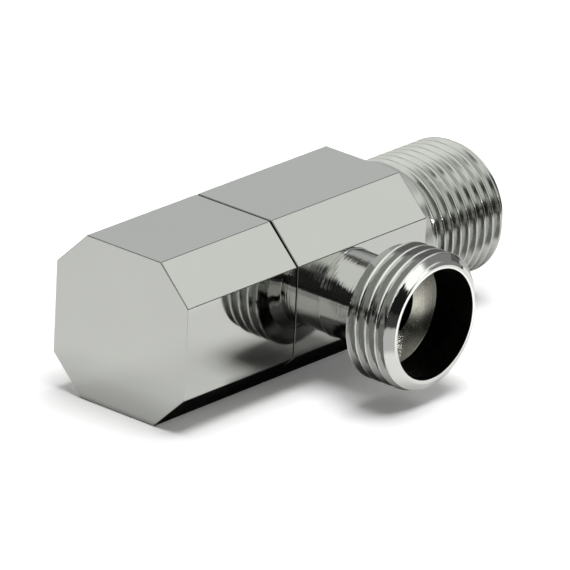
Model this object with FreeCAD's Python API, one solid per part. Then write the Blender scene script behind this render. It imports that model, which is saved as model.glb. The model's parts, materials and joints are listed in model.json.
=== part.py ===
import FreeCAD, Part
import math
import os

# Angle stop valve, G 1/2 inlet and G 1/2 outlet, with a quarter-turn ceramic cartridge.
# Frame: +X runs from the handle to the inlet, the outlet leaves along -Y, and +Z is up.
# The origin is on the inlet's axis, in the plane of the shoulder behind the inlet thread.
# Lengths are in millimetres and angles in degrees. Angles about X start at +Y and rise to +Z.

V = FreeCAD.Vector

# Square stock with cut corners, shared by the body and the handle.
SECTION_W = 25.0
CORNER_LEG = 5.5
EDGE_BREAK = 0.25

# Lengths along the valve.
BODY_LEN = 28.2
SEAM_GAP = 0.3
HANDLE_LEN = 23.3

# Thread G 1/2 on both nipples. Its ridges are plain rings, one at each pitch.
THREAD_R = 10.4
THREAD_DEPTH = 1.16
THREADS_PER_INCH = 14
INCH = 25.4

# Inlet nipple, turned on the body's own bar.
INLET_LEN = 21.2
SHANK_LEN = 5.2
INLET_END_CHAMFER = 0.8
INLET_BORE_R = 6.5
INLET_MOUTH_CHAMFER = 0.5
SEAT_DEPTH = 5.4

# Outlet nipple, a turned piece with a neck, a threaded head and a spigot in the body's wall.
OUTLET_SETBACK = 16.9
NECK_R = 6.3
NECK_LEN = 8.4
HEAD_LEN = 8.0
HEAD_BACK_CHAMFER = 0.2
MOUTH_RIM_R = 8.85
MOUTH_CHAMFER_LEN = 0.85
OUTLET_BORE_R = 8.3
OUTLET_BORE_DEPTH = 6.9
OUTLET_CONE_DEPTH = 1.1
OUTLET_PASSAGE_R = 4.4
SPIGOT_R = 5.6
SPIGOT_SHY = 0.35
SPIGOT_CHAMFER = 0.3

# Clearances, all radial or on one side.
TURNED_FIT = 0.05
RUNNING_FIT = 0.05
SEAL_CLEARANCE = 0.03
LAPPED_GAP = 0.02
LOOSE_CLEARANCE = 0.25
POCKET_CLEARANCE = 0.1
SPLINE_CLEARANCE = 0.06

# Cartridge housing.
CARTRIDGE_THREAD_R = 9.0
CARTRIDGE_THREAD_LEN = 4.0
FLANGE_R = 9.9
FLANGE_LEN = 1.0
HEX_FLATS = 17.0
HEX_LEN = 2.6
GUIDE_R = 6.4
GUIDE_LEN = 4.2
CROWN_LEN = 1.2
CROWN_BORE_R = 5.0
HOUSING_GROOVE_R = 7.75
HOUSING_GROOVE_LEN = 1.7
HOUSING_LAND_LEN = 0.2
HOUSING_COLLAR_LEN = 1.0
SKIRT_R = 8.2
CHAMBER_R = 7.25
WINDOW_SPAN = 100.0
WINDOW_LEN = 4.6
WINDOW_ABOVE_DISC = 0.5

# Ceramic discs, gasket and the ring that keeps the gasket open.
DISC_R = 7.1
DISC_LEN = 3.0
PORT_INNER_R = 1.6
PORT_OUTER_R = 5.0
PORT_SPAN = 84.0
TAB_R = 8.1
TAB_SPAN = 14.0
TAB_SLOT_SPAN = 16.0
GASKET_LEN = 2.5
GASKET_R = 8.9
GASKET_BORE_R = 5.9
SUPPORT_WALL = 0.8
SUPPORT_SHY = 0.3

# Spindle.
SHAFT_R = 4.5
SPINDLE_GROOVE_R = 3.15
SPINDLE_GROOVE_LEN = 1.7
SPINDLE_GROOVE_PITCH = 3.7
SPINDLE_GROOVE_TOP = 1.1
SPLINE_TEETH = 20
SPLINE_TIP_R = 3.9
SPLINE_ROOT_R = 3.45
SPLINE_LEN = 9.0
TOOTH_FOOT_SHARE = 0.30
TOOTH_TIP_SHARE = 0.12
FOOT_R = 6.9
FOOT_LEN = 1.6
WASHER_LEN = 0.5
FORK_INNER_R = 5.3
FORK_R = 6.8
FORK_SPAN = 36.0
FORK_NOTCH_SPAN = 38.0
FORK_ENGAGEMENT = 1.3
TAP_R = 2.0
TAP_DEPTH = 6.0

# Quarter-turn stop and the snap ring that holds it.
TURN_RANGE = 90.0
STOP_LUG_SPAN = 40.0
STOP_MARGIN = 2.0
STOP_RING_LEN = 1.0
STOP_HUB_R = 4.8
STOP_LUG_R = 6.2
STOP_RING_LIFT = 0.1
SNAP_RING_R = 5.2
SNAP_RING_LEN = 0.8
SNAP_GROOVE_R = 3.2
SNAP_GAP_SPAN = 70.0

# Handle, its splined insert and the screws.
HANDLE_CAVITY_R = 10.4
HANDLE_END_WALL = 2.0
INSERT_FLATS = 14.0
INSERT_CORNER_LEG = 3.0
INSERT_LIFT = 0.6
INSERT_WEB = 1.4
INSERT_FLUTE_R = 1.6
INSERT_FLUTE_DEPTH = 0.9
SCREW_R = 1.95
SCREW_LEN = 6.0
SCREW_HEAD_R = 3.5
SCREW_HEAD_LEN = 2.2
SCREW_HEAD_CROWN = 0.5
CROSS_LEN = 3.6
CROSS_W = 0.9
CROSS_DEPTH = 1.3
LOCK_WASHER_R = 3.4
LOCK_WASHER_LEN = 0.8
LOCK_WASHER_SPLIT = 0.6
SET_SCREW_SHY = 0.4
SET_SCREW_POINT = 0.5
SET_SCREW_FROM_WEB = 3.6
HEX_KEY_FLATS = 2.0
HEX_KEY_DEPTH = 2.4

# Stations along X, from the shoulder back to the handle's end face.
FRONT_X = -BODY_LEN
SEAT_X = -SEAT_DEPTH
OUTLET_X = -OUTLET_SETBACK
FIXED_DISC_X = SEAT_X - GASKET_LEN
LAP_X = FIXED_DISC_X - DISC_LEN
DISC_TOP_X = LAP_X - LAPPED_GAP - DISC_LEN
WINDOW_X = DISC_TOP_X - WINDOW_ABOVE_DISC
FLANGE_X = FRONT_X - FLANGE_LEN
HEX_X = FLANGE_X - HEX_LEN
GUIDE_X = HEX_X - GUIDE_LEN
CROWN_X = GUIDE_X - CROWN_LEN
THREAD_END_X = FRONT_X + CARTRIDGE_THREAD_LEN
GROOVE_X = THREAD_END_X + HOUSING_LAND_LEN
COLLAR_X = GROOVE_X + HOUSING_GROOVE_LEN
LEDGE_X = COLLAR_X + HOUSING_COLLAR_LEN
FOOT_X = LEDGE_X + WASHER_LEN
SPLINE_END_X = GUIDE_X - SPLINE_LEN
STOP_X = GUIDE_X - STOP_RING_LIFT
SNAP_X = STOP_X - STOP_RING_LEN - STOP_RING_LIFT
INSERT_X = SNAP_X - SNAP_RING_LEN - INSERT_LIFT
WEB_X = SPLINE_END_X - INSERT_WEB
LOCK_WASHER_X = WEB_X - LOCK_WASHER_LEN
HANDLE_FACE_X = FRONT_X - SEAM_GAP
HANDLE_END_X = HANDLE_FACE_X - HANDLE_LEN
POCKET_X = INSERT_X + INSERT_LIFT
POCKET_END_X = HANDLE_END_X + HANDLE_END_WALL
SET_SCREW_X = WEB_X + SET_SCREW_FROM_WEB

# Radii, half widths and the pitch that follow from the sizes above.
HALF_W = SECTION_W / 2
THREAD_PITCH = INCH / THREADS_PER_INCH
CARTRIDGE_BORE_R = CARTRIDGE_THREAD_R + TURNED_FIT
GUIDE_BORE_R = SHAFT_R + RUNNING_FIT
POCKET_FLATS = INSERT_FLATS + 2 * POCKET_CLEARANCE
MOUTH_Y = -(HALF_W + NECK_LEN + HEAD_LEN)
HEAD_BACK_Y = -(HALF_W + NECK_LEN)
OUTLET_SIDE = 0.0
TOP_SIDE = 90.0
FAR_SIDE = 180.0
SEAL_SIDES = 6


def turned(profile, axis_x=None):
    """Solid of revolution: (position, radius) points about X, or about -Y through axis_x."""
    if axis_x is None:
        points = [V(position, 0, radius) for position, radius in profile]
        centre = V(0, 0, 0)
        axis = V(1, 0, 0)
    else:
        points = [V(axis_x, position, radius) for position, radius in profile]
        centre = V(axis_x, 0, 0)
        axis = V(0, 1, 0)
    wire = Part.makePolygon(points + points[:1])
    return Part.Face(wire).revolve(centre, axis, 360)


def ring(x0, x1, inner_r, outer_r):
    """Plain ring about X."""
    return turned([(x0, inner_r), (x1, inner_r), (x1, outer_r), (x0, outer_r)])


def rod(x0, x1, radius):
    """Plain cylinder about X."""
    return Part.makeCylinder(radius, abs(x1 - x0), V(min(x0, x1), 0, 0), V(1, 0, 0))


def thread_ridges(start, end):
    """Profile points of the thread: a groove at each pitch, and a short land at both ends."""
    pitch = math.copysign(THREAD_PITCH, end - start)
    grooves = math.ceil((end - start) / pitch) - 1
    first = (start + end - grooves * pitch) / 2
    points = [(start, THREAD_R), (first, THREAD_R)]
    for groove in range(grooves):
        points.append((first + (groove + 0.5) * pitch, THREAD_R - THREAD_DEPTH))
        points.append((first + (groove + 1) * pitch, THREAD_R))
    return points + [(end, THREAD_R)]


def around_x(x, radius, angle):
    """Point at an angle about X."""
    turn = math.radians(angle)
    return V(x, radius * math.cos(turn), radius * math.sin(turn))


def sector(x0, x1, inner_r, outer_r, middle, span):
    """Ring sector about X, centred on an angle."""
    start = middle - span / 2
    end = middle + span / 2
    outer = Part.Arc(*[around_x(x0, outer_r, angle) for angle in (start, middle, end)])
    inner = Part.Arc(*[around_x(x0, inner_r, angle) for angle in (end, middle, start)])
    far_side = Part.makeLine(around_x(x0, outer_r, end), around_x(x0, inner_r, end))
    near_side = Part.makeLine(around_x(x0, inner_r, start), around_x(x0, outer_r, start))
    outline = Part.Wire([outer.toShape(), far_side, inner.toShape(), near_side])
    return Part.Face(outline).extrude(V(x1 - x0, 0, 0))


def both_sides(x0, x1, inner_r, outer_r, middle, span):
    """Two equal sectors, one on each side of the axis."""
    first = sector(x0, x1, inner_r, outer_r, middle, span)
    second = sector(x0, x1, inner_r, outer_r, middle + FAR_SIDE, span)
    return first.fuse(second)


def octagon_prism(x0, x1, width, leg):
    """Square bar about X with its four corners cut by the leg."""
    half = width / 2
    flat = half - leg
    corners = [(half, flat), (flat, half), (-flat, half), (-half, flat),
               (-half, -flat), (-flat, -half), (flat, -half), (half, -flat)]
    points = [V(x0, y, z) for y, z in corners]
    wire = Part.makePolygon(points + points[:1])
    return Part.Face(wire).extrude(V(x1 - x0, 0, 0))


def stock_bar(x0, x1):
    """Length of the square stock with a small chamfer round both ends."""
    bar = octagon_prism(x0, x1, SECTION_W, CORNER_LEG)
    end_edges = [edge for edge in bar.Edges if edge.BoundBox.XLength < EDGE_BREAK]
    return bar.makeChamfer(EDGE_BREAK, end_edges)


def hexagon_prism(base, direction, flats, length):
    """Hexagonal prism that grows from a base point along a direction."""
    corner_r = flats / math.sqrt(3)
    points = []
    for corner in range(6):
        turn = math.radians(60 * corner)
        points.append(V(corner_r * math.cos(turn), corner_r * math.sin(turn), 0))
    prism = Part.Face(Part.makePolygon(points + points[:1])).extrude(V(0, 0, length))
    prism.Placement = FreeCAD.Placement(base, FreeCAD.Rotation(V(0, 0, 1), direction))
    return prism


def spline_prism(x0, x1, clearance):
    """Toothed prism about X: the spindle's spline, or the socket when given a clearance."""
    pitch = 360.0 / SPLINE_TEETH
    tip_r = SPLINE_TIP_R + clearance
    root_r = SPLINE_ROOT_R + clearance
    flank = [(-TOOTH_FOOT_SHARE, root_r), (-TOOTH_TIP_SHARE, tip_r),
             (TOOTH_TIP_SHARE, tip_r), (TOOTH_FOOT_SHARE, root_r)]
    points = []
    for tooth in range(SPLINE_TEETH):
        for share, radius in flank:
            points.append(around_x(x0, radius, (tooth + share) * pitch))
    wire = Part.makePolygon(points + points[:1])
    return Part.Face(wire).extrude(V(x1 - x0, 0, 0))


def o_ring(middle_x, groove_r, bore_r):
    """O-ring about X that fills the space between a groove's floor and the bore around it."""
    section_r = (bore_r - SEAL_CLEARANCE - groove_r) / 2
    profile = []
    for side in range(SEAL_SIDES):
        turn = 2 * math.pi * side / SEAL_SIDES
        position = middle_x + section_r * math.sin(turn)
        profile.append((position, groove_r + section_r + section_r * math.cos(turn)))
    return turned(profile)


def spindle_groove_middles():
    """Middles of the spindle's two O-ring grooves."""
    first = GUIDE_X + SPINDLE_GROOVE_TOP + SPINDLE_GROOVE_LEN / 2
    return first, first + SPINDLE_GROOVE_PITCH


def valve_body():
    """Square body with the inlet nipple, the cartridge's bore and the outlet's hole."""
    bar = stock_bar(FRONT_X, 0)
    nipple = turned([
        (SEAT_X, 0),
        (SEAT_X, THREAD_R),
        *thread_ridges(SHANK_LEN, INLET_LEN - INLET_END_CHAMFER),
        (INLET_LEN, THREAD_R - INLET_END_CHAMFER),
        (INLET_LEN, 0),
    ])
    bores = turned([
        (FRONT_X, 0),
        (FRONT_X, CARTRIDGE_BORE_R),
        (SEAT_X, CARTRIDGE_BORE_R),
        (SEAT_X, INLET_BORE_R),
        (INLET_LEN - INLET_MOUTH_CHAMFER, INLET_BORE_R),
        (INLET_LEN, INLET_BORE_R + INLET_MOUTH_CHAMFER),
        (INLET_LEN, 0),
    ])
    hole_r = SPIGOT_R + TURNED_FIT
    outlet_hole = Part.makeCylinder(hole_r, HALF_W, V(OUTLET_X, 0, 0), V(0, -1, 0))
    return bar.fuse(nipple).cut(bores).cut(outlet_hole).removeSplitter()


def outlet_nipple():
    """Neck and threaded head of the outlet, with a coned bore and the spigot that holds it."""
    spigot_y = -(CARTRIDGE_BORE_R + SPIGOT_SHY)
    floor_y = MOUTH_Y + OUTLET_BORE_DEPTH
    return turned([
        (spigot_y, OUTLET_PASSAGE_R),
        (floor_y + OUTLET_CONE_DEPTH, OUTLET_PASSAGE_R),
        (floor_y, OUTLET_BORE_R),
        (MOUTH_Y, OUTLET_BORE_R),
        (MOUTH_Y, MOUTH_RIM_R),
        *thread_ridges(MOUTH_Y + MOUTH_CHAMFER_LEN, HEAD_BACK_Y - HEAD_BACK_CHAMFER),
        (HEAD_BACK_Y, THREAD_R - HEAD_BACK_CHAMFER),
        (HEAD_BACK_Y, NECK_R),
        (-HALF_W, NECK_R),
        (-HALF_W, SPIGOT_R),
        (spigot_y - SPIGOT_CHAMFER, SPIGOT_R),
        (spigot_y, SPIGOT_R - SPIGOT_CHAMFER),
    ], OUTLET_X)


def cartridge_housing():
    """Turned housing: stop crown, guide, hexagon, flange, thread, seal groove and windowed skirt."""
    blank = turned([
        (CROWN_X, CROWN_BORE_R),
        (GUIDE_X, CROWN_BORE_R),
        (GUIDE_X, GUIDE_BORE_R),
        (LEDGE_X, GUIDE_BORE_R),
        (LEDGE_X, CHAMBER_R),
        (FIXED_DISC_X, CHAMBER_R),
        (FIXED_DISC_X, SKIRT_R),
        (LEDGE_X, SKIRT_R),
        (LEDGE_X, CARTRIDGE_THREAD_R),
        (COLLAR_X, CARTRIDGE_THREAD_R),
        (COLLAR_X, HOUSING_GROOVE_R),
        (GROOVE_X, HOUSING_GROOVE_R),
        (GROOVE_X, CARTRIDGE_THREAD_R),
        (FRONT_X, CARTRIDGE_THREAD_R),
        (FRONT_X, FLANGE_R),
        (FLANGE_X, FLANGE_R),
        (FLANGE_X, GUIDE_R),
        (CROWN_X, GUIDE_R),
    ])
    hexagon = hexagon_prism(V(HEX_X, 0, 0), V(1, 0, 0), HEX_FLATS, HEX_LEN)
    collar = hexagon.cut(rod(HEX_X, FLANGE_X, GUIDE_BORE_R))
    gap_span = TURN_RANGE + STOP_LUG_SPAN + 2 * STOP_MARGIN
    reach = GUIDE_R + CROWN_LEN
    crown_gaps = both_sides(CROWN_X, GUIDE_X, GUIDE_BORE_R, reach, OUTLET_SIDE, gap_span)
    wall_in = CHAMBER_R - SKIRT_R / 2
    wall_out = SKIRT_R + CHAMBER_R / 2
    windows = both_sides(WINDOW_X - WINDOW_LEN, WINDOW_X, wall_in, wall_out, OUTLET_SIDE, WINDOW_SPAN)
    tab_slots = both_sides(LAP_X, FIXED_DISC_X, wall_in, wall_out, TOP_SIDE, TAB_SLOT_SPAN)
    return blank.fuse(collar).cut(crown_gaps).cut(windows).cut(tab_slots)


def housing_oring():
    """Seal between the housing and the body's bore."""
    middle = GROOVE_X + HOUSING_GROOVE_LEN / 2
    return o_ring(middle, HOUSING_GROOVE_R, CARTRIDGE_BORE_R)


def fixed_disc():
    """Lower ceramic disc: two ports, and two tabs that keep it from turning in the skirt."""
    disc = rod(LAP_X, FIXED_DISC_X, DISC_R)
    tabs = both_sides(LAP_X, FIXED_DISC_X, PORT_OUTER_R, TAB_R, TOP_SIDE, TAB_SPAN)
    ports = both_sides(LAP_X, FIXED_DISC_X, PORT_INNER_R, PORT_OUTER_R, OUTLET_SIDE, PORT_SPAN)
    return disc.fuse(tabs).cut(ports)


def moving_disc():
    """Upper ceramic disc: two openings a quarter turn from the ports, and notches for the fork."""
    bottom_x = LAP_X - LAPPED_GAP
    disc = rod(DISC_TOP_X, bottom_x, DISC_R)
    openings = both_sides(DISC_TOP_X, bottom_x, PORT_INNER_R, PORT_OUTER_R, TOP_SIDE, PORT_SPAN)
    notch_x = DISC_TOP_X + FORK_ENGAGEMENT + LOOSE_CLEARANCE
    notch_r = FORK_INNER_R - POCKET_CLEARANCE
    notches = both_sides(DISC_TOP_X, notch_x, notch_r, 2 * DISC_R, OUTLET_SIDE, FORK_NOTCH_SPAN)
    return disc.cut(openings).cut(notches)


def seat_gasket():
    """Rubber gasket between the fixed disc and the body's seat."""
    return ring(FIXED_DISC_X, SEAT_X, GASKET_BORE_R, GASKET_R)


def seat_support_ring():
    """Ring inside the gasket that keeps it from closing in."""
    inner_r = GASKET_BORE_R - SUPPORT_WALL
    return ring(FIXED_DISC_X, SEAT_X - SUPPORT_SHY, inner_r, GASKET_BORE_R)


def spindle():
    """Spindle: splined end, shaft with two seal grooves, foot, and the fork that turns the disc."""
    shaft_profile = [(FOOT_X + FOOT_LEN, 0), (FOOT_X + FOOT_LEN, FOOT_R), (FOOT_X, FOOT_R),
                     (FOOT_X, SHAFT_R)]
    for middle in reversed(spindle_groove_middles()):
        near_x = middle + SPINDLE_GROOVE_LEN / 2
        far_x = middle - SPINDLE_GROOVE_LEN / 2
        shaft_profile += [(near_x, SHAFT_R), (near_x, SPINDLE_GROOVE_R),
                          (far_x, SPINDLE_GROOVE_R), (far_x, SHAFT_R)]
    shaft_profile += [(GUIDE_X, SHAFT_R), (GUIDE_X, 0)]
    shaft = turned(shaft_profile)
    snap_groove = ring(SNAP_X - SNAP_RING_LEN, SNAP_X, SNAP_GROOVE_R, SHAFT_R)
    splined_end = spline_prism(SPLINE_END_X, GUIDE_X, 0).cut(snap_groove)
    fork_end_x = DISC_TOP_X + FORK_ENGAGEMENT
    foot_end_x = FOOT_X + FOOT_LEN
    fork = both_sides(foot_end_x, fork_end_x, FORK_INNER_R, FORK_R, OUTLET_SIDE, FORK_SPAN)
    tapped_hole = rod(SPLINE_END_X, SPLINE_END_X + TAP_DEPTH, TAP_R)
    return shaft.fuse(splined_end).fuse(fork).cut(tapped_hole)


def spindle_oring(index):
    """One of the two seals between the spindle and its guide."""
    return o_ring(spindle_groove_middles()[index], SPINDLE_GROOVE_R, GUIDE_BORE_R)


def thrust_washer():
    """Plastic washer between the spindle's foot and the housing's ledge."""
    return ring(LEDGE_X + RUNNING_FIT, FOOT_X, SHAFT_R + RUNNING_FIT, FOOT_R)


def stop_ring():
    """Ring keyed on the spline, with two lugs that swing between the crown's teeth."""
    far_x = STOP_X - STOP_RING_LEN
    hub = rod(far_x, STOP_X, STOP_HUB_R)
    closed_angle = OUTLET_SIDE + TURN_RANGE / 2
    lugs = both_sides(far_x, STOP_X, SPLINE_TIP_R, STOP_LUG_R, closed_angle, STOP_LUG_SPAN)
    socket = spline_prism(far_x, STOP_X, SPLINE_CLEARANCE)
    return hub.fuse(lugs).cut(socket)


def snap_ring():
    """Open ring in the spindle's groove that holds the stop ring and the spindle."""
    inner_r = SNAP_GROOVE_R + RUNNING_FIT
    near_x = SNAP_X - RUNNING_FIT
    far_x = SNAP_X - SNAP_RING_LEN + RUNNING_FIT
    return ring(far_x, near_x, inner_r, SNAP_RING_R).cut(
        sector(far_x, near_x, inner_r / 2, 2 * SNAP_RING_R, TOP_SIDE, SNAP_GAP_SPAN))


def handle():
    """Handle shell: the body's section, round inside, with a pocket for the splined insert."""
    shell = stock_bar(HANDLE_END_X, HANDLE_FACE_X)
    cavity = rod(POCKET_X, HANDLE_FACE_X, HANDLE_CAVITY_R)
    pocket = octagon_prism(POCKET_END_X, POCKET_X, POCKET_FLATS, INSERT_CORNER_LEG)
    hole_r = SCREW_R + TURNED_FIT
    screw_hole = Part.makeCylinder(hole_r, HALF_W, V(SET_SCREW_X, 0, 0), V(0, 1, 0))
    return shell.cut(cavity).cut(pocket).cut(screw_hole)


def handle_insert():
    """Moulded insert with the spline socket, eight flutes and a web for its screw."""
    block = octagon_prism(WEB_X, INSERT_X, INSERT_FLATS, INSERT_CORNER_LEG)
    socket = spline_prism(SPLINE_END_X, INSERT_X, SPLINE_CLEARANCE)
    screw_hole = rod(WEB_X, SPLINE_END_X, SCREW_R + TURNED_FIT)
    insert = block.cut(socket).cut(screw_hole)
    corner_r = (INSERT_FLATS - INSERT_CORNER_LEG) / math.sqrt(2)
    flute_r = corner_r + INSERT_FLUTE_R - INSERT_FLUTE_DEPTH
    for corner in range(4):
        centre = around_x(INSERT_X, flute_r, 90 * corner + 45)
        length = INSERT_X - WEB_X - INSERT_WEB
        insert = insert.cut(Part.makeCylinder(INSERT_FLUTE_R, length, centre, V(-1, 0, 0)))
    return insert


def insert_screw():
    """Cross-head screw that holds the insert on the spindle."""
    head_x = LOCK_WASHER_X - SCREW_HEAD_LEN
    blank = turned([
        (head_x, 0),
        (head_x, SCREW_HEAD_R - SCREW_HEAD_CROWN),
        (head_x + SCREW_HEAD_CROWN, SCREW_HEAD_R),
        (LOCK_WASHER_X, SCREW_HEAD_R),
        (LOCK_WASHER_X, SCREW_R),
        (LOCK_WASHER_X + SCREW_LEN, SCREW_R),
        (LOCK_WASHER_X + SCREW_LEN, 0),
    ])
    slot_a = Part.makeBox(CROSS_DEPTH, CROSS_LEN, CROSS_W, V(head_x, -CROSS_LEN / 2, -CROSS_W / 2))
    slot_b = Part.makeBox(CROSS_DEPTH, CROSS_W, CROSS_LEN, V(head_x, -CROSS_W / 2, -CROSS_LEN / 2))
    return blank.cut(slot_a.fuse(slot_b))


def insert_lock_washer():
    """Split spring washer under the insert screw's head."""
    washer = ring(LOCK_WASHER_X, WEB_X, SCREW_R + RUNNING_FIT, LOCK_WASHER_R)
    corner = V(LOCK_WASHER_X, 0, -LOCK_WASHER_SPLIT / 2)
    split = Part.makeBox(LOCK_WASHER_LEN, LOCK_WASHER_R, LOCK_WASHER_SPLIT, corner)
    return washer.cut(split)


def handle_set_screw():
    """Headless screw in the handle's hidden side, tight against the insert's flat."""
    tip_y = INSERT_FLATS / 2
    back_y = HALF_W - SET_SCREW_SHY
    blank = turned([
        (tip_y, 0),
        (tip_y, SCREW_R - SET_SCREW_POINT),
        (tip_y + SET_SCREW_POINT, SCREW_R),
        (back_y, SCREW_R),
        (back_y, 0),
    ], SET_SCREW_X)
    key = hexagon_prism(V(SET_SCREW_X, back_y, 0), V(0, -1, 0), HEX_KEY_FLATS, HEX_KEY_DEPTH)
    return blank.cut(key)


def build():
    """Every node's solid, by name."""
    return {
        "valve_body": valve_body(),
        "outlet_nipple": outlet_nipple(),
        "cartridge_housing": cartridge_housing(),
        "housing_oring": housing_oring(),
        "fixed_disc": fixed_disc(),
        "seat_gasket": seat_gasket(),
        "seat_support_ring": seat_support_ring(),
        "moving_disc": moving_disc(),
        "spindle": spindle(),
        "spindle_oring_upper": spindle_oring(0),
        "spindle_oring_lower": spindle_oring(1),
        "thrust_washer": thrust_washer(),
        "stop_ring": stop_ring(),
        "snap_ring": snap_ring(),
        "handle": handle(),
        "handle_insert": handle_insert(),
        "insert_lock_washer": insert_lock_washer(),
        "insert_screw": insert_screw(),
        "handle_set_screw": handle_set_screw(),
    }


os.makedirs("parts", exist_ok=True)
for name, shape in build().items():
    shape.exportStep(os.path.join("parts", name + ".step"))
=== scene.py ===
import json
import math

import bmesh
import bpy
from mathutils import Matrix, Vector


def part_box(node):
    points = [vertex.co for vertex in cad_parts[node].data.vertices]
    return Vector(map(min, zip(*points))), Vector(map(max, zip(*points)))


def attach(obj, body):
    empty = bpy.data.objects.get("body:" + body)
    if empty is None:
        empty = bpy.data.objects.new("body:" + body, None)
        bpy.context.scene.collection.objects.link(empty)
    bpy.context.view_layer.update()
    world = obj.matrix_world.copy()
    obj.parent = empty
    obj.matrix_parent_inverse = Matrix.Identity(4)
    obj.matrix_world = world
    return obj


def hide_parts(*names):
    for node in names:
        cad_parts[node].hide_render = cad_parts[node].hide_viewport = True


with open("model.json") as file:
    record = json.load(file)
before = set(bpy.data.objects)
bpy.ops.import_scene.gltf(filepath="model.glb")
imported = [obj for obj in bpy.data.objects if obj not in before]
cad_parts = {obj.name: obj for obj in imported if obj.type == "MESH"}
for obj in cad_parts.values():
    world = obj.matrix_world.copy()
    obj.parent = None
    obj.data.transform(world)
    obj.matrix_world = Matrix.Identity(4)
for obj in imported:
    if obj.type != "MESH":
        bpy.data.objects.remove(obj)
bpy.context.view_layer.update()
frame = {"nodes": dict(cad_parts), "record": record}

MM = 0.001
MICRON = 0.000001
NODES = frame["nodes"]
MOUNTS = {mount["name"]: mount for mount in frame["record"]["mounts"]}

# Places and sizes read from the frame, in metres.
BODY_LOW, BODY_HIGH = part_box("valve_body")
HEAD_LOW, HEAD_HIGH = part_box("outlet_nipple")
HANDLE_END_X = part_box("handle")[0].x
THREAD_R = MOUNTS["outlet_thread"]["dims"]["r_mm"] * MM
INLET_BORE_R = MOUNTS["inlet_bore"]["dims"]["r_mm"] * MM
OUTLET_BORE_R = MOUNTS["outlet_bore"]["dims"]["r_mm"] * MM
OUTLET_BORE_DEPTH = MOUNTS["outlet_bore"]["dims"]["length_mm"] * MM
OUTLET_X = MOUNTS["outlet_thread"]["pos_m"][0]
SHOULDER_X = MOUNTS["wall_shoulder"]["pos_m"][0]
SIDE_Y = BODY_LOW.y
HALF_W = BODY_HIGH.y
MOUTH_Y = HEAD_LOW.y
BORE_FLOOR_Y = MOUTH_Y + OUTLET_BORE_DEPTH
INLET_END_X = BODY_HIGH.x
FLOOR_Z = BODY_LOW.z

# G 1/2 thread: the Whitworth form with round crests and roots, 14 turns per inch.
PITCH = 25.4 * MM / 14
FLANK_ANGLE = math.radians(27.5)
THREAD_DEPTH = 0.640327 * PITCH
CREST_ROUND = 0.137329 * PITCH
CREST_STEPS = 4
# Band below the thread's top whose crests take the rim's brighter tone, a painted highlight.
CREST_HIGHLIGHT_BAND = 0.1 * MM
THREAD_FADE_START = 4.6 * MM
THREAD_FADE_END = 6.4 * MM
INLET_THREAD_PHASE = 0.47
OUTLET_THREAD_PHASE = 0.976

# Small forms of the turned pieces that the record doesn't state.
INLET_END_CHAMFER = 0.8 * MM
INLET_MOUTH_CHAMFER = 0.5 * MM
SHANK_TAPER = 0.14 * MM
MOUTH_RIM_R = 8.85 * MM
MOUTH_CHAMFER_LEN = 0.85 * MM
BORE_CONE_DEPTH = 1.1 * MM
PASSAGE_R = 4.4 * MM
SPIGOT_R = 5.6 * MM
NECK_R = 6.6 * MM
NECK_BEAD_R = 6.75 * MM
NECK_BEAD_LEN = 0.14 * MM
NECK_FLARE = 1.3 * MM
HEAD_BACK_Y = SIDE_Y - 8.4 * MM
HEAD_BACK_CHAMFER = 0.2 * MM
EDGE_ROUND = 0.07 * MM
ROUND_STEPS = 3
ROUND_SPACING = 2.2

# Small forms of the two square pieces. On a corner flat, |y| and |z| add up to CORNER_SUM.
CORNER_LEG = 5.5 * MM
CORNER_SUM = 2 * HALF_W - CORNER_LEG
LONG_EDGE_ROUND = 0.08 * MM
LONG_EDGE_ANGLE = math.radians(20)
END_BREAK = 0.25 * MM
END_BREAK_SHARE = 0.5
END_BREAK_TILT_LOW = 0.3
END_BREAK_TILT_HIGH = 0.95
SIDE_BREAK = 0.05 * MM
RIM_WIDTH = 0.6 * MM

# Fineness of the meshes, and the slack with which places on them are told apart.
AROUND = 256
SHARP_ANGLE = math.radians(24)
FLAT_ANGLE = math.radians(0.5)
DIAGONAL_SLACK = 0.01
MERGE = 1e-7
NEAR = 10 * MERGE
THIN = 0.01 * MM
SLACK = 0.05 * MM
BACK_SLACK = 0.1 * MM

# Material indices of the pieces that have more than one finish.
FLAT, DULL_PAINTED_DARK_EDGE = range(2)
NECK, GROOVE, BORE_FLOOR, BORE_WALL, RIM = range(5)
THREADED, SHANK = range(2)

# Unevenness of the finishes: the noise's usual range, its scales per metre, how far the roughness
# spreads, how much the colour dims, and how strong the machining marks and the grain are.
NOISE_LOW = 0.3
NOISE_HIGH = 0.7
WAVE_SCALE = 30.0
HAZE_SCALE = 90.0
GLOSS_SCALE = 220.0
TARNISH_SCALE = 300.0
DULLNESS_SCALE = 900.0
CHROME_SPREAD = (0.6, 1.5)
METAL_SPREAD = (0.8, 1.3)
MOULDED_SPREAD = (0.8, 1.2)
HAZE_DIM = 0.96
GRAIN_DIM = 0.85
MARK_STRENGTH = 0.3
MARK_DEPTH = 10 * MICRON
GRAIN_STRENGTH = 0.2

# Tones of the chrome, from the darkest to the brightest. The edge tone is painted shade that draws
# dark lines along the edges; the rim tone, brighter than the plate, is a painted highlight on the
# outlet's mouth, chamfers and thread crests.
EDGE_PAINTED_DARK_TONE = (0.25, 0.252, 0.248, 1.0)
GROOVE_TONE = (0.42, 0.425, 0.41, 1.0)
NECK_TONE = (0.50, 0.505, 0.485, 1.0)
THREAD_TONE = (0.58, 0.59, 0.565, 1.0)
CHROME_TONE = (0.66, 0.67, 0.645, 1.0)
RIM_PAINTED_HIGHLIGHT_TONE = (0.84, 0.85, 0.83, 1.0)
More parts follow.
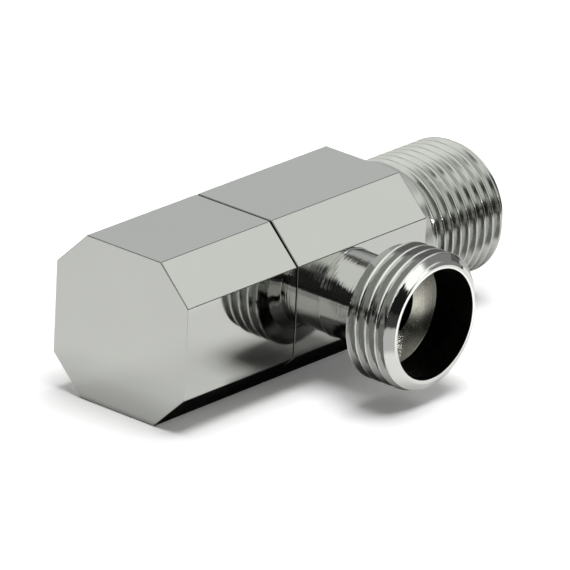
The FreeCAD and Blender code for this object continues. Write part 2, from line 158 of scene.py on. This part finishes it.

# Floor: what the camera sees of it, and what the metal mirrors. Painted shadows darken what the metal
# mirrors; each is given as centre, half size, softness and strength, and a painted glow that brightens
# it is given the same way without the strength.
FLOOR_HALF = 4.0
FLOOR_GAP = 0.02 * MM
FLOOR_ROUGHNESS = 0.9
FLOOR_SEEN = (0.97, 0.97, 0.97, 1)
FLOOR_TONE = (0.73, 0.73, 0.715, 1)
FLOOR_PAINTED_SHADOW_TONE = (0.04, 0.04, 0.04, 1)
FLOOR_LIFT = 0.10
FLOOR_PAINTED_SHADOWS = {
    "under_bars": ((-0.026, -0.0015), (0.026, 0.0095), 0.003, 1.0),
    "left_of_outlet": ((-0.0205, -0.025), (0.0045, 0.0045), 0.006, 0.4),
    "under_outlet": ((-0.012, -0.017), (0.020, 0.0045), 0.003, 0.8),
    "before_handle_end": ((-0.058, 0.004), (0.005, 0.018), 0.010, 0.16),
    "front_left": ((-0.060, -0.070), (0.040, 0.024), 0.006, 0.4),
    "far_front": ((0.0, -2.095), (4.0, 2.0), 0.02, 1.0),
}
FLOOR_PAINTED_GLOW = ((-0.002, -0.066), (0.020, 0.020), 0.008)
FLOOR_PAINTED_GLOW_POWER = 0.42

# Light tent, and its cards as direction (azimuth, elevation), half size and softness in degrees,
# and tone. A later card covers the ones before it.
TENT_TONE = (1.0, 1.01, 0.975, 1)
TENT_FILL = (0.05, 0.05, 0.05, 1)
TENT_SEEN = (1, 1, 1, 1)
CARDS = {
    "grey_far_side": ((0, 0), (76, 52), 10, (0.615, 0.625, 0.62)),
    "dark_far_right": ((-14, 12), (38, 22), 14, (0.22, 0.22, 0.215)),
    "pale_for_slants": ((-28, 37), (9, 9), 6, (0.865, 0.87, 0.845)),
    "dark_high_far_left": ((56, 47), (12, 7), 7, (0.13, 0.13, 0.12)),
    "white_right": ((-75, 36), (21, 17), 8, (1.25, 1.26, 1.21)),
    "white_left": ((145, 23), (14, 9), 4, (1.12, 1.13, 1.09)),
    "dark_left": ((170, 18), (9, 12), 5, (0.04, 0.04, 0.04)),
    "black_low_near_side": ((-117, 4), (67, 12.5), 5, (0.01, 0.01, 0.01)),
    "black_low_left": ((180, 4), (5, 12.5), 5, (0.01, 0.01, 0.01)),
    "dark_near_side": ((-140, 20), (19, 20), 16, (0.03, 0.03, 0.03)),
    "dark_high_near_side": ((-112, 30), (12, 14), 12, (0.08, 0.08, 0.08)),
    "small_lamp": ((-52, 13), (4, 1.3), 0.8, (15.0, 15.0, 15.0)),
}

# Lamps above and at the side, which no metal mirrors.
KEY_PLACE = (0.0, -0.10, 1.0)
KEY_SIZE = 0.6
KEY_POWER = 10.2
FILL_PLACE = (0.9, 0.25, 0.45)
FILL_SIZE = 0.5
FILL_POWER = 4.3

# The photograph's camera: far off, so the lens is long.
CAMERA_PLACE = Vector((-0.93999, -0.77755, 0.48500))
CAMERA_FORWARD = Vector((0.70938, 0.59705, -0.37457))
CAMERA_UP = Vector((0.25464, 0.27845, 0.92608))
CAMERA_LENS = 569.8
SENSOR_WIDTH = 36.0
CLIP_START = 0.05
CLIP_END = 50


def smoothstep(low, high, value):
    share = min(max((value - low) / (high - low), 0.0), 1.0)
    return share * share * (3 - 2 * share)


def off_axis(point):
    """Distance from the inlet's axis."""
    return math.hypot(point.y, point.z)


def add_object(name, data):
    thing = bpy.data.objects.new(name, data)
    bpy.context.scene.collection.objects.link(thing)
    return thing


def rounded_profile(points):
    """Open profile of (position, radius) points with each inner corner rounded."""
    result = [points[0]]
    for before, corner, after in zip(points, points[1:], points[2:]):
        corner_v = Vector(corner)
        back = Vector(before) - corner_v
        ahead = Vector(after) - corner_v
        reach = min(EDGE_ROUND, back.length / ROUND_SPACING, ahead.length / ROUND_SPACING)
        start = corner_v + back.normalized() * reach
        end = corner_v + ahead.normalized() * reach
        for step in range(ROUND_STEPS + 1):
            share = step / ROUND_STEPS
            first = start.lerp(corner_v, share)
            second = corner_v.lerp(end, share)
            result.append(tuple(first.lerp(second, share)))
    result.append(points[-1])
    return result


def new_piece(name, bm):
    """Object from a bmesh, smooth except where faces meet at a sharp angle."""
    bmesh.ops.remove_doubles(bm, verts=bm.verts, dist=MERGE)
    bmesh.ops.dissolve_degenerate(bm, edges=bm.edges, dist=MERGE)
    bmesh.ops.recalc_face_normals(bm, faces=bm.faces)
    for face in bm.faces:
        face.smooth = True
    for edge in bm.edges:
        if len(edge.link_faces) == 2:
            edge.smooth = edge.calc_face_angle() < SHARP_ANGLE
    mesh = bpy.data.meshes.new(name)
    bm.to_mesh(mesh)
    bm.free()
    return add_object(name, mesh)


def add_rings(bm, rings, place):
    """Rings about an axis: each gives a position and its radius at a share of a turn."""
    rows = []
    for position, radius_at in rings:
        row = []
        for step in range(AROUND):
            turn = step / AROUND
            row.append(bm.verts.new(place(position, radius_at(turn), turn * 2 * math.pi)))
        rows.append(row)
    for low, high in zip(rows, rows[1:]):
        for step in range(AROUND):
            after = (step + 1) % AROUND
            bm.faces.new((low[step], low[after], high[after], high[step]))


def plain(radius):
    """Radius that is the same all round."""
    return lambda turn: radius


def thread_profile():
    """One turn of the thread along the axis, as (share of the pitch, depth below the crest)."""
    tilts = [(math.pi / 2 - FLANK_ANGLE) * step / CREST_STEPS for step in range(CREST_STEPS + 1)]
    crest = [(CREST_ROUND * math.sin(tilt), CREST_ROUND * (1 - math.cos(tilt))) for tilt in tilts]
    half = crest + [(PITCH / 2 - offset, THREAD_DEPTH - drop) for offset, drop in reversed(crest)]
    mirrored = [(PITCH - offset, drop) for offset, drop in reversed(half[1:-1])]
    return [(offset / PITCH, drop) for offset, drop in half + mirrored]


THREAD_PROFILE = thread_profile()


def thread_radius(along, turn, phase):
    """Radius at any place on the thread."""
    share = (along / PITCH - turn + phase) % 1.0
    last_share, last_drop = THREAD_PROFILE[-1]
    lap = [(last_share - 1.0, last_drop), *THREAD_PROFILE, (1.0, THREAD_PROFILE[0][1])]
    for (before, drop_before), (after, drop_after) in zip(lap, lap[1:]):
        if share <= after:
            break
    drop = drop_before + (drop_after - drop_before) * (share - before) / (after - before)
    return THREAD_R - drop


def add_thread(bm, start, end, phase, limit, place):
    """Right-hand thread whose rows follow the helix; spare turns lie flat on the square ends."""
    first = math.floor(start / PITCH + phase) - 2
    last = math.ceil(end / PITCH + phase) + 1
    rows = []
    for lap in range(first, last):
        for share, _ in THREAD_PROFILE:
            row = []
            for step in range(AROUND):
                turn = step / AROUND
                along = (lap + share + turn - phase) * PITCH
                inside = min(max(along, start), end)
                radius = limit(inside, thread_radius(inside, turn, phase))
                row.append(bm.verts.new(place(inside, radius, turn * 2 * math.pi)))
            rows.append(row)
    for index, (low, high) in enumerate(zip(rows, rows[1:])):
        for step in range(AROUND - 1):
            bm.faces.new((low[step], low[step + 1], high[step + 1], high[step]))
        joined = index + len(THREAD_PROFILE)
        if joined + 1 < len(rows):
            bm.faces.new((low[-1], rows[joined][0], rows[joined + 1][0], high[-1]))


def about_inlet(position, radius, angle):
    return Vector((position, radius * math.cos(angle), radius * math.sin(angle)))


def about_outlet(position, radius, angle):
    return Vector((OUTLET_X + radius * math.cos(angle), position, radius * math.sin(angle)))


def inlet_thread():
    """Outside of the inlet nipple: a plain shank, the thread with its run-out, and the end."""
    bm = bmesh.new()
    end = INLET_END_X

    def limit(position, radius):
        depth_share = smoothstep(THREAD_FADE_START, THREAD_FADE_END, position)
        cone_r = THREAD_R - INLET_END_CHAMFER + (end - position)
        return min(THREAD_R + (radius - THREAD_R) * depth_share, cone_r)

    def end_radius(turn):
        return limit(end, thread_radius(end, turn, INLET_THREAD_PHASE))

    add_rings(bm, [
        (0.0, plain(THREAD_R - SHANK_TAPER)),
        (THREAD_FADE_START, plain(THREAD_R)),
    ], about_inlet)
    add_thread(bm, THREAD_FADE_START, end, INLET_THREAD_PHASE, limit, about_inlet)
    add_rings(bm, [
        (end, end_radius),
        (end, plain(INLET_BORE_R + INLET_MOUTH_CHAMFER)),
        (end - INLET_MOUTH_CHAMFER, plain(INLET_BORE_R)),
        (end - 2 * INLET_MOUTH_CHAMFER, plain(INLET_BORE_R)),
    ], about_inlet)
    return new_piece("inlet_thread", bm)


def outlet_head():
    """Whole outlet nipple: spigot, neck, threaded head, mouth chamfer, bore and passage."""
    bm = bmesh.new()
    spigot_end = HEAD_HIGH.y
    back = HEAD_BACK_Y

    def limit(along, radius):
        position = -along
        cone_r = MOUTH_RIM_R + (position - MOUTH_Y) * (THREAD_R - MOUTH_RIM_R) / MOUTH_CHAMFER_LEN
        back_r = THREAD_R - HEAD_BACK_CHAMFER + (back - position)
        return min(radius, cone_r, back_r)

    def back_radius(turn):
        return limit(-back, thread_radius(-back, turn, OUTLET_THREAD_PHASE))

    def place(along, radius, angle):
        return about_outlet(-along, radius, angle)

    outside = rounded_profile([
        (spigot_end, PASSAGE_R),
        (spigot_end, SPIGOT_R),
        (SIDE_Y, SPIGOT_R),
        (SIDE_Y, NECK_BEAD_R),
        (SIDE_Y - NECK_BEAD_LEN, NECK_BEAD_R),
        (SIDE_Y - NECK_BEAD_LEN, NECK_R),
        (back + NECK_FLARE, NECK_R),
        (back, NECK_R + NECK_FLARE),
        (back, THREAD_R - THREAD_DEPTH),
    ])
    inside = rounded_profile([
        (MOUTH_Y, MOUTH_RIM_R),
        (MOUTH_Y, OUTLET_BORE_R),
        (BORE_FLOOR_Y, OUTLET_BORE_R),
        (BORE_FLOOR_Y + BORE_CONE_DEPTH, PASSAGE_R),
        (spigot_end, PASSAGE_R),
    ])
    rings = [(position, plain(radius)) for position, radius in outside]
    add_rings(bm, rings + [(back, back_radius)], about_outlet)
    add_thread(bm, -back, -MOUTH_Y, OUTLET_THREAD_PHASE, limit, place)
    add_rings(bm, [(position, plain(radius)) for position, radius in inside], about_outlet)
    return new_piece("outlet_head", bm)


def sharpen_end(bm, end_x):
    """Narrows the chamfer round an end of the square stock, most of all on its upright sides."""
    outer = HALF_W - END_BREAK * END_BREAK_SHARE
    inner = HALF_W - END_BREAK
    for vert in bm.verts:
        from_end = abs(vert.co.x - end_x)
        across, upright = abs(vert.co.y), abs(vert.co.z)
        reach = max(across, upright, (across + upright) * HALF_W / CORNER_SUM)
        on_side = across > reach - NEAR
        if from_end < MERGE and inner - NEAR < reach < HALF_W - NEAR:
            vert.co.y *= (HALF_W - SIDE_BREAK if on_side else outer) / inner
            vert.co.z *= outer / inner
        elif NEAR < from_end < END_BREAK + NEAR and reach > HALF_W - NEAR:
            share = SIDE_BREAK / END_BREAK if on_side else END_BREAK_SHARE
            vert.co.x = end_x + (vert.co.x - end_x) * share


def cut_corner_flats(bm, cut_x):
    """Edge loop across the four corner flats, which keeps their shading flat past the rim."""
    flats = [face for face in bm.faces
             if abs(abs(face.normal.y) - abs(face.normal.z)) < DIAGONAL_SLACK]
    parts = dict.fromkeys(part for face in flats for part in (face, *face.edges, *face.verts))
    bmesh.ops.bisect_plane(bm, geom=list(parts), plane_co=(cut_x, 0, 0), plane_no=(1, 0, 0))


def runs_along(edge):
    """Whether an edge is one of the stock's lengthwise corners."""
    first, second = edge.verts
    lengthwise = abs(first.co.x - second.co.x) > SLACK
    outside = min(off_axis(first.co), off_axis(second.co)) > HALF_W
    return lengthwise and outside and edge.calc_face_angle(0.0) > LONG_EDGE_ANGLE


def on_painted_dark_break(face):
    """Whether a face is part of the chamfer round an end, apart from the free end's sides; these faces
    take the edge tone, a painted dark line.
    """
    centre = face.calc_center_median()
    tilted = END_BREAK_TILT_LOW < abs(face.normal.x) < END_BREAK_TILT_HIGH
    beside_free_end = centre.x < HANDLE_END_X + END_BREAK and abs(centre.y) > HALF_W - 2 * SIDE_BREAK
    return tilted and off_axis(centre) > THREAD_R and not beside_free_end


def off_the_nipple(face):
    """Whether a face of the body isn't part of the inlet nipple's outside."""
    centre = face.calc_center_median()
    return centre.x < SHOULDER_X + SLACK or off_axis(centre) < INLET_BORE_R + INLET_MOUTH_CHAMFER / 2


def square_piece(name, node, keep):
    """Square node's mesh with merged flats, rounded long edges and finely broken ends."""
    mesh = NODES[node].data.copy()
    mesh.name = name
    mesh.materials.clear()
    mesh.materials.append(FLAT_CHROME)
    mesh.materials.append(EDGE_DARKENED_CHROME)
    bm = bmesh.new()
    bm.from_mesh(mesh)
    bmesh.ops.remove_doubles(bm, verts=bm.verts, dist=MERGE)
    bmesh.ops.delete(bm, geom=[face for face in bm.faces if not keep(face)], context="FACES")
    bmesh.ops.dissolve_limit(bm, angle_limit=FLAT_ANGLE, verts=bm.verts, edges=bm.edges)
    low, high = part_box(node)
    for end_x, inward in ((low.x, 1), (min(high.x, SHOULDER_X), -1)):
        sharpen_end(bm, end_x)
        cut_corner_flats(bm, end_x + inward * RIM_WIDTH)
    long_edges = [edge for edge in bm.edges if runs_along(edge)]
    rounded = bmesh.ops.bevel(bm, geom=long_edges, offset=LONG_EDGE_ROUND, segments=2, profile=0.5,
                              affect="EDGES")["faces"]
    bmesh.ops.recalc_face_normals(bm, faces=bm.faces)
    # The rounded long edges and the end chamfers take the edge tone: painted dark lines along the
    # edges.
    for face in bm.faces:
        face.material_index = DULL_PAINTED_DARK_EDGE if on_painted_dark_break(face) or face in rounded else FLAT
        face.smooth = True
    bm.to_mesh(mesh)
    bm.free()
    piece = add_object(name, mesh)
    even = piece.modifiers.new("even_normals", "WEIGHTED_NORMAL")
    even.mode = "FACE_AREA"
    return piece


class Tree:
    """Short hand for building a node tree."""

    def __init__(self, tree):
        self.tree = tree

    def add(self, kind, inputs=None, **settings):
        node = self.tree.nodes.new(kind)
        for key, value in settings.items():
            setattr(node, key, value)
        for key, value in (inputs or {}).items():
            self.put(node.inputs[key], value)
        return node

    def put(self, socket, value):
        if isinstance(value, bpy.types.NodeSocket):
            self.tree.links.new(value, socket)
        else:
            socket.default_value = value

    def math(self, operation, first, second=0.0):
        return self.add("ShaderNodeMath", {0: first, 1: second}, operation=operation).outputs["Value"]

    def mix(self, factor, first, second):
        node = self.add("ShaderNodeMix", {"Factor": factor, "A": first, "B": second}, data_type="RGBA")
        return node.outputs["Result"]

    def window(self, value, centre, half, soft):
        """1 inside a range of values and 0 outside, with soft ends."""
        off = self.math("ABSOLUTE", self.math("SUBTRACT", value, centre))
        ramp = self.add("ShaderNodeMapRange", {
            "Value": off, "From Min": half - soft / 2, "From Max": half + soft / 2,
            "To Min": 1.0, "To Max": 0.0,
        }, interpolation_type="SMOOTHSTEP")
        return ramp.outputs["Result"]

    def rectangle(self, values, centre, half, soft):
        """1 where two values lie inside a rectangle and 0 outside, with soft sides."""
        sides = [self.window(value, middle, reach, soft)
                 for value, middle, reach in zip(values, centre, half)]
        return self.math("MULTIPLY", *sides)


class Finish(Tree):
    """Material that is built on a Principled shader."""

    def __init__(self, name):
        self.material = bpy.data.materials.new(name)
        self.material.use_nodes = True
        super().__init__(self.material.node_tree)
        self.shader = self.tree.nodes["Principled BSDF"]

    def set(self, key, value):
        self.put(self.shader.inputs[key], value)

    def object_place(self):
        return self.add("ShaderNodeTexCoord").outputs["Object"]

    def noise(self, scale, detail=4.0, stretch=(1, 1, 1)):
        mapping = self.add("ShaderNodeMapping", {"Vector": self.object_place(), "Scale": stretch})
        inputs = {"Vector": mapping.outputs["Vector"], "Scale": scale, "Detail": detail}
        return self.add("ShaderNodeTexNoise", inputs).outputs["Fac"]

    def set_roughness(self, mean, spread, scale):
        """Roughness that wanders about its mean over the surface."""
        low, high = spread
        node = self.add("ShaderNodeMapRange", {
            "Value": self.noise(scale), "From Min": NOISE_LOW, "From Max": NOISE_HIGH,
            "To Min": mean * low, "To Max": mean * high,
        })
        self.set("Roughness", node.outputs["Result"])

    def bump(self, height, strength, distance, normal=None):
        inputs = {"Height": height, "Strength": strength, "Distance": distance}
        if normal is not None:
            inputs["Normal"] = normal
        return self.add("ShaderNodeBump", inputs).outputs["Normal"]


def dimmed(colour, share):
    return [channel * share for channel in colour[:3]] + [1.0]


def chrome(name, colour, roughness, lines, line_depth, waviness):
    """Polished chrome plate: faint haze, fine polishing or turning lines and a slight waviness."""
    build = Finish(name)
    build.set("Metallic", 1.0)
    build.set("Base Color", build.mix(build.noise(HAZE_SCALE), colour, dimmed(colour, HAZE_DIM)))
    build.set_roughness(roughness, CHROME_SPREAD, GLOSS_SCALE)
    wave = build.bump(build.noise(WAVE_SCALE, detail=1.0), 1.0, waviness)
    fine_lines = build.noise(1.0, detail=3.0, stretch=lines)
    build.set("Normal", build.bump(fine_lines, 1.0, line_depth, wave))
    return build.material


def bare_metal(name, colour, dark, roughness):
    """Metal without plate, a little tarnished."""
    build = Finish(name)
    build.set("Metallic", 1.0)
    build.set("Base Color", build.mix(build.noise(TARNISH_SCALE), colour, dark))
    build.set_roughness(roughness, METAL_SPREAD, DULLNESS_SCALE)
    return build


def turned_cone(name, colour, dark, roughness, grooves, groove_depth):
    """Bare metal whose turning grooves run round the outlet's axis."""
    build = bare_metal(name, colour, dark, roughness)
    offset = build.add("ShaderNodeVectorMath", {0: build.object_place(), 1: (OUTLET_X, 0, 0)},
                       operation="SUBTRACT").outputs["Vector"]
    across = build.add("ShaderNodeVectorMath", {0: offset, 1: (1, 0, 1)},
                       operation="MULTIPLY").outputs["Vector"]
    radius = build.add("ShaderNodeVectorMath", {0: across}, operation="LENGTH").outputs["Value"]
    rings = build.add("ShaderNodeTexNoise", {"W": radius, "Scale": grooves, "Detail": 3.0},
                      noise_dimensions="1D").outputs["Fac"]
    build.set("Normal", build.bump(rings, 1.0, groove_depth))
    return build.material


def machined(name, colour, dark, roughness, lines):
    """Bare metal with straight machining marks."""
    build = bare_metal(name, colour, dark, roughness)
    marks = build.noise(1.0, detail=5.0, stretch=lines)
    build.set("Normal", build.bump(marks, MARK_STRENGTH, MARK_DEPTH))
    return build.material


def moulded(name, colour, roughness, grain, grain_depth):
    """Moulded or lapped non-metal with a fine grain."""
    build = Finish(name)
    build.set("Base Color", build.mix(build.noise(grain / 6), colour, dimmed(colour, GRAIN_DIM)))
    build.set_roughness(roughness, MOULDED_SPREAD, grain / 3)
    build.set("Normal", build.bump(build.noise(grain), GRAIN_STRENGTH, grain_depth))
    return build.material


FLAT_CHROME = chrome("chrome_flat", CHROME_TONE, roughness=0.05, lines=(60, 900, 900),
                     line_depth=0.2 * MICRON, waviness=60 * MICRON)
# Edge chrome: its dark tone is painted shade along the edges.
EDGE_DARKENED_CHROME = chrome("chrome_edge_painted_dark", EDGE_PAINTED_DARK_TONE, roughness=0.16, lines=(60, 900, 900),
                     line_depth=0.2 * MICRON, waviness=60 * MICRON)
TURNED_CHROME = chrome("chrome_turned", NECK_TONE, roughness=0.06, lines=(90, 2500, 90),
                       line_depth=40 * MICRON, waviness=50 * MICRON)
INLET_CHROME = chrome("chrome_inlet_thread", THREAD_TONE, roughness=0.15, lines=(2500, 70, 70),
                      line_depth=16 * MICRON, waviness=40 * MICRON)
SHANK_CHROME = chrome("chrome_shank", CHROME_TONE, roughness=0.28, lines=(900, 200, 200),
                      line_depth=2 * MICRON, waviness=10 * MICRON)
# Rim chrome: its tone, brighter than the plate, is a painted highlight.
RIM_HIGHLIGHT_CHROME = chrome("chrome_outlet_rim_painted_highlight", RIM_PAINTED_HIGHLIGHT_TONE, roughness=0.06, lines=(90, 2500, 90),
                      line_depth=30 * MICRON, waviness=50 * MICRON)
OUTLET_CHROME = chrome("chrome_outlet_thread", GROOVE_TONE, roughness=0.10, lines=(110, 2500, 110),
                       line_depth=90 * MICRON, waviness=120 * MICRON)
BORE_METAL = turned_cone("bore_floor", (0.54, 0.53, 0.465, 1), (0.47, 0.46, 0.40, 1),
                         roughness=0.19, grooves=9000.0, groove_depth=10 * MICRON)
# Bore wall and passage: the near-black colour is painted shade in the deep hollow.
BORE_PAINTED_SHADE = machined("bore_wall_painted_shade", (0.035, 0.035, 0.03, 1), (0.02, 0.02, 0.018, 1),
                     roughness=0.3, lines=(60, 3000, 60))
BRASS = machined("brass_turned", (0.78, 0.58, 0.29, 1), (0.62, 0.44, 0.20, 1),
                 roughness=0.22, lines=(3000, 60, 60))
STEEL = machined("stainless", (0.55, 0.55, 0.54, 1), (0.42, 0.42, 0.41, 1),
                 roughness=0.28, lines=(900, 900, 900))
CERAMIC = moulded("lapped_ceramic", (0.86, 0.85, 0.80, 1), roughness=0.18, grain=2400.0,
                  grain_depth=2 * MICRON)
RUBBER = moulded("nitrile_rubber", (0.025, 0.025, 0.025, 1), roughness=0.55, grain=3000.0,
                 grain_depth=10 * MICRON)
PLASTIC = moulded("acetal", (0.80, 0.80, 0.76, 1), roughness=0.38, grain=1800.0,
                  grain_depth=5 * MICRON)
INNER_FINISHES = {
    "cartridge_housing": BRASS, "spindle": BRASS, "fixed_disc": CERAMIC, "moving_disc": CERAMIC,
    "housing_oring": RUBBER, "seat_gasket": RUBBER, "spindle_oring_upper": RUBBER,
    "spindle_oring_lower": RUBBER, "seat_support_ring": PLASTIC, "thrust_washer": PLASTIC,
    "handle_insert": PLASTIC, "stop_ring": STEEL, "snap_ring": STEEL, "insert_screw": STEEL,
    "insert_lock_washer": STEEL, "handle_set_screw": STEEL,
}


def paint(piece, materials):
    """Gives a piece its materials, with the first one on every face."""
    piece.data.materials.clear()
    for material in materials:
        piece.data.materials.append(material)


def dress_square(name, node, body, keep):
    block = square_piece(name, node, keep)
    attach(block, body)
    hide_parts(node)


def dress_inlet():
    """Threaded inlet with a plain, duller shank."""
    thread = inlet_thread()
    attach(thread, "valve")
    paint(thread, (INLET_CHROME, SHANK_CHROME))
    for face in thread.data.polygons:
        face.material_index = SHANK if face.center.x < THREAD_FADE_START else THREADED


def outlet_finish(centre):
    """Material index of an outlet face: its plain, threaded and bare turned parts differ."""
    radius = math.hypot(centre.x - OUTLET_X, centre.z)
    before_back = centre.y < HEAD_BACK_Y - BACK_SLACK
    # The passage and the bore wall take the near-black tone, painted shade in the hollow.
    if radius < PASSAGE_R + SLACK:
        return BORE_WALL
    if radius < OUTLET_BORE_R + THIN and before_back:
        return BORE_FLOOR if centre.y > BORE_FLOOR_Y - SLACK else BORE_WALL
    # The thread's crests, the mouth and the chamfers take the rim's brighter tone, a painted
    # highlight.
    if MOUTH_Y + MOUTH_CHAMFER_LEN < centre.y < HEAD_BACK_Y - HEAD_BACK_CHAMFER:
        return RIM if radius > THREAD_R - CREST_HIGHLIGHT_BAND else GROOVE
    return RIM if before_back else NECK


def dress_outlet():
    head = outlet_head()
    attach(head, "valve")
    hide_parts("outlet_nipple")
    paint(head, (TURNED_CHROME, OUTLET_CHROME, BORE_METAL, BORE_PAINTED_SHADE, RIM_HIGHLIGHT_CHROME))
    for face in head.data.polygons:
        face.material_index = outlet_finish(face.center)


def dress_inner_nodes():
    for node, material in INNER_FINISHES.items():
        mesh = NODES[node].data
        mesh.materials.clear()
        mesh.materials.append(material)


def floor():
    """Plain pale floor. What the metal mirrors of it carries painted shadows under and round the valve
    and far in front, and a painted glow in front of the valve.
    """
    build = Finish("floor_paper")
    build.set("Roughness", FLOOR_ROUGHNESS)
    build.set("Specular IOR Level", 0.0)
    split = build.add("ShaderNodeSeparateXYZ", {"Vector": build.object_place()})
    place = (split.outputs["X"], split.outputs["Y"])
    # What the metal mirrors: painted shadows darken the floor's tone in patches.
    mirrored = FLOOR_TONE
    for centre, half, soft, strength in FLOOR_PAINTED_SHADOWS.values():
        cover = build.math("MULTIPLY", build.rectangle(place, centre, half, soft), strength)
        mirrored = build.mix(cover, mirrored, FLOOR_PAINTED_SHADOW_TONE)
    path = build.add("ShaderNodeLightPath")
    build.set("Base Color", build.mix(path.outputs["Is Camera Ray"], mirrored, FLOOR_SEEN))
    seen_lift = build.math("MULTIPLY", path.outputs["Is Camera Ray"], FLOOR_LIFT)
    # A painted glow brightens what the metal mirrors in front of the valve.
    painted_glow = build.math("MULTIPLY", build.rectangle(place, *FLOOR_PAINTED_GLOW), FLOOR_PAINTED_GLOW_POWER)
    mirrored_painted_glow = build.math("MULTIPLY", path.outputs["Is Glossy Ray"], painted_glow)
    build.set("Emission Color", (1, 1, 1, 1))
    build.set("Emission Strength", build.math("ADD", seen_lift, mirrored_painted_glow))
    bm = bmesh.new()
    bmesh.ops.create_grid(bm, x_segments=1, y_segments=1, size=FLOOR_HALF)
    mesh = bpy.data.meshes.new("floor")
    bm.to_mesh(mesh)
    bm.free()
    mesh.materials.append(build.material)
    sheet = add_object("floor", mesh)
    sheet.location = (0, 0, FLOOR_Z - FLOOR_GAP)


class Surroundings(Tree):
    """World shader: a pale tent with soft-edged cards."""

    def __init__(self, tent):
        world = bpy.data.worlds.new("studio")
        bpy.context.scene.world = world
        world.use_nodes = True
        super().__init__(world.node_tree)
        coords = self.add("ShaderNodeTexCoord")
        split = self.add("ShaderNodeSeparateXYZ", {"Vector": coords.outputs["Generated"]})
        azimuth = self.math("ARCTAN2", split.outputs["Y"], split.outputs["X"])
        elevation = self.math("ARCSINE", split.outputs["Z"])
        self.direction = (azimuth, elevation)
        self.shade = tent

    def card(self, centre, half, soft, tone):
        centre = [math.radians(angle) for angle in centre]
        half = [math.radians(angle) for angle in half]
        cover = self.rectangle(self.direction, centre, half, math.radians(soft))
        self.shade = self.mix(cover, self.shade, (*tone, 1))

    def finish(self, fill, seen):
        """One even fill for diffuse rays and one plain white for the camera."""
        path = self.add("ShaderNodeLightPath")
        shade = self.mix(path.outputs["Is Diffuse Ray"], self.shade, fill)
        shade = self.mix(path.outputs["Is Camera Ray"], shade, seen)
        self.put(self.tree.nodes["Background"].inputs["Color"], shade)


def softbox(name, place, size, power):
    """Square lamp that faces the origin and that neither metal nor camera sees."""
    lamp = bpy.data.lights.new(name, "AREA")
    lamp.shape = "RECTANGLE"
    lamp.size = size
    lamp.size_y = size
    lamp.energy = power
    box = add_object(name, lamp)
    box.location = place
    box.rotation_euler = (-box.location).to_track_quat("-Z", "Y").to_euler()
    box.visible_glossy = False
    box.visible_camera = False


def studio():
    """Light tent with dark openings at the camera's side, a large lamp above and a side fill."""
    tent = Surroundings(TENT_TONE)
    for centre, half, soft, tone in CARDS.values():
        tent.card(centre, half, soft, tone)
    tent.finish(TENT_FILL, TENT_SEEN)
    softbox("key", KEY_PLACE, KEY_SIZE, KEY_POWER)
    softbox("side_fill", FILL_PLACE, FILL_SIZE, FILL_POWER)


def camera():
    data = bpy.data.cameras.new("camera")
    data.lens = CAMERA_LENS
    data.sensor_width = SENSOR_WIDTH
    data.clip_start = CLIP_START
    data.clip_end = CLIP_END
    view = add_object("camera", data)
    right = CAMERA_FORWARD.cross(CAMERA_UP)
    turn = Matrix((right, CAMERA_UP, -CAMERA_FORWARD)).transposed()
    view.matrix_world = Matrix.Translation(CAMERA_PLACE) @ turn.to_4x4()
    bpy.context.scene.camera = view


dress_square("body_block", "valve_body", "valve", off_the_nipple)
dress_square("handle_block", "handle", "turning_handle", lambda face: True)
dress_inlet()
dress_outlet()
dress_inner_nodes()
floor()
studio()
camera()
bpy.context.scene.view_settings.view_transform = "Standard"
